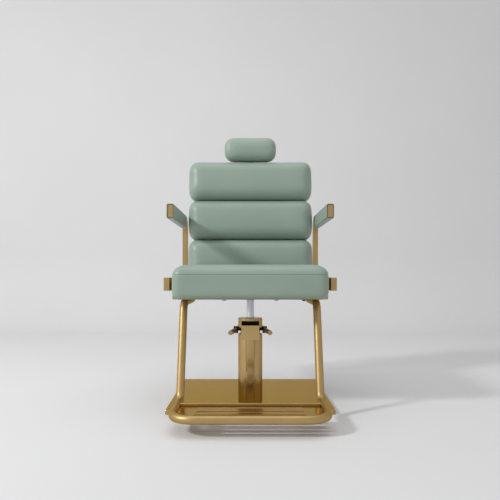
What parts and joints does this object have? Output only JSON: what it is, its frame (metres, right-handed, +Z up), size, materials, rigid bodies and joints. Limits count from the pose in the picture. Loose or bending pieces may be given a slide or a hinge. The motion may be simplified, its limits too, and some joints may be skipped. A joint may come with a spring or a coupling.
{
  "type": "threading chair",
  "caption": "Salon threading chair: square base, hydraulic column with pump lever, swivelling padded seat, open padded arms, reclining rolled back, headrest and tubular footrest.",
  "frame": {"origin": "middle of the underside of the centre floor pad, on the column's axis", "axes": "+Z up along the column, -Y to the chair's front and footrest, +X to the right of a viewer who stands in front of it"},
  "size_m": [0.6296, 0.9627, 1.1124],
  "materials": {
    "satin_gold": "satin gold lacquer over brushed steel",
    "chrome": "polished",
    "zinc_steel": "bright zinc plate",
    "black_paint": "satin black",
    "sage_leather": "smooth upholstery leather, low sheen",
    "foam": "open cell",
    "plywood": "plain sanded",
    "black_rubber": "matt",
    "bronze": "machined",
    "black_plastic": "fine grain",
    "dark_iron": "dark machined casting"
  },
  "bodies": {
    "base": {"base_plate": "satin_gold", "floor_pads": "black_rubber", "column_bolts": "zinc_steel", "column_sleeve": "satin_gold", "column_cap": "satin_gold", "rod_wiper": "black_rubber", "pump_front_cover": "satin_gold", "pump_cylinder": "black_paint", "pump_head": "dark_iron", "rod_guide_bush": "bronze", "plunger_spring": "zinc_steel"},
    "lift": {"lift_rod": "chrome", "rod_piston": "zinc_steel", "piston_seal": "black_rubber", "thrust_bearing": "bronze"},
    "pump_lever": {"lever_tube": "satin_gold", "lever_end_plugs": "satin_gold", "lever_pedal_rubber": "black_rubber", "lever_shaft": "zinc_steel", "lever_blocks": "black_paint", "pump_rocker": "zinc_steel"},
    "plunger": {"pump_plunger": "zinc_steel"},
    "seat": {"seat_cushion": "sage_leather", "seat_foam": "foam", "seat_board": "plywood", "mounting_plate": "black_paint", "mounting_bolts": "zinc_steel", "swivel_hub": "black_paint", "side_frame_left": "satin_gold", "side_frame_right": "satin_gold", "arm_end_plates": "satin_gold", "rail_end_plates": "satin_gold", "arm_pad_left": "sage_leather", "arm_pad_right": "sage_leather", "side_brackets": "satin_gold", "under_seat_bolts": "zinc_steel", "footrest_lugs": "satin_gold", "footrest_tube": "satin_gold", "footrest_plugs": "black_plastic", "tread_tray": "satin_gold", "tray_bars": "satin_gold", "hinge_brackets": "satin_gold", "hinge_pins": "zinc_steel"},
    "backrest": {"back_roll_bottom": "sage_leather", "back_roll_middle": "sage_leather", "back_roll_top": "sage_leather", "back_foam": "foam", "back_board": "plywood", "back_rear_cover": "sage_leather", "strap_screws": "zinc_steel", "hinge_arms": "satin_gold", "headrest_guide": "black_plastic"},
    "headrest": {"headrest_cushion": "sage_leather", "headrest_foam": "foam", "headrest_plate": "black_paint", "headrest_bar": "chrome"},
    "clamp_knob": {"headrest_knob": "black_plastic"},
    "recline_handle": {"recline_lever": "satin_gold", "recline_grip": "black_plastic"}
  },
  "joints": [
    {"name": "rod_lift", "type": "slide", "parent": "base", "child": "lift", "axis": [0, 0, 1], "range_m": [0, 0.15]},
    {"name": "seat_swivel", "type": "hinge", "parent": "lift", "child": "seat", "pos_m": [0, 0, 0.4], "axis": [0, 0, 1], "continuous": true},
    {"name": "pump_lever_press", "type": "hinge", "parent": "base", "child": "pump_lever", "pos_m": [0, 0.026, 0.271], "axis": [-1, 0, 0], "range_deg": [0, 22], "stiffness_Nm_per_rad": 1.5, "springref_deg": -6.88},
    {"name": "plunger_stroke", "type": "slide", "parent": "base", "child": "plunger", "axis": [0, 0, -1], "range_m": [0, 0.0066], "deforming": ["plunger_spring"]},
    {"name": "back_recline", "type": "hinge", "parent": "seat", "child": "backrest", "pos_m": [0, 0.2, 0.432], "axis": [-1, 0, 0], "range_deg": [0, 50]},
    {"name": "recline_handle_press", "type": "hinge", "parent": "seat", "child": "recline_handle", "pos_m": [0.228, 0.2, 0.432], "axis": [1, 0, 0], "range_deg": [0, 35], "stiffness_Nm_per_rad": 0.6, "springref_deg": -17.19},
    {"name": "headrest_height", "type": "slide", "parent": "backrest", "child": "headrest", "axis": [0, 0.1132, 0.9936], "range_m": [0, 0.09]},
    {"name": "clamp_knob_turn", "type": "hinge", "parent": "backrest", "child": "clamp_knob", "pos_m": [0, 0.35305, 0.92223], "axis": [0, 0.9936, -0.1132], "range_deg": [0, 360]}
  ],
  "couplings": [
    {"joint": "plunger_stroke", "follows": "pump_lever_press", "m_per_rad": 0.0171}
  ]
}
